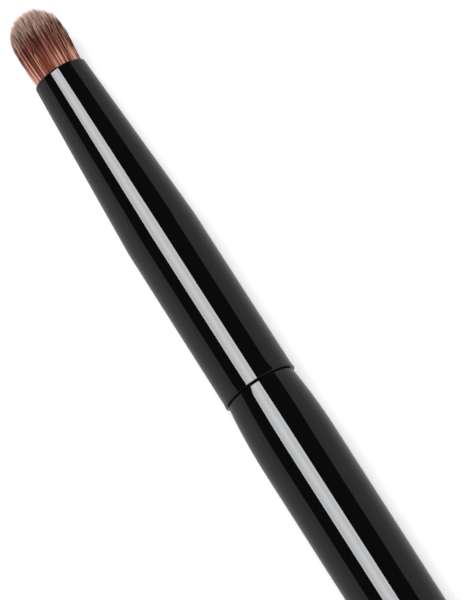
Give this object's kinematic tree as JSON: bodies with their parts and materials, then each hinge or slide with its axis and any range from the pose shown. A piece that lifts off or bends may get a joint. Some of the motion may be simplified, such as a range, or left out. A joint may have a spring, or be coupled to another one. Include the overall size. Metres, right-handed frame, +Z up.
{
  "type": "eyeshadow brush",
  "caption": "Slim eyeshadow brush with a dense domed hair tuft, a long tapering glossy black ferrule and a smooth round black lacquered handle.",
  "frame": {"origin": "on the brush's axis, in the middle of the handle's straight barrel, where a hand or a stand holds it, with the axis level", "axes": "+X along the brush's axis, from the hair towards the butt of the handle; +Z up; +Y to the left of +X"},
  "size_m": [0.15, 0.0119, 0.0118],
  "materials": {
    "hair": "satin",
    "thread": "matte",
    "resin": "gloss",
    "lacquered_aluminium": "gloss",
    "glue": "matte",
    "lacquered_wood": "gloss"
  },
  "bodies": {
    "brush": {"handle": "lacquered_wood", "ferrule": "lacquered_aluminium", "tenon_glue": "glue", "resin_plug": "resin", "root_binding": "thread", "bristle_knot": "hair"},
    "tuft": {"bristle_tuft": "hair"}
  },
  "joints": [
    {"name": "tuft_bend", "type": "hinge", "parent": "brush", "child": "tuft", "pos_m": [-0.08075, 0, 0], "axis": [0, 0, 1], "range_deg": [-25, 25], "stiffness_Nm_per_rad": 0.005}
  ]
}
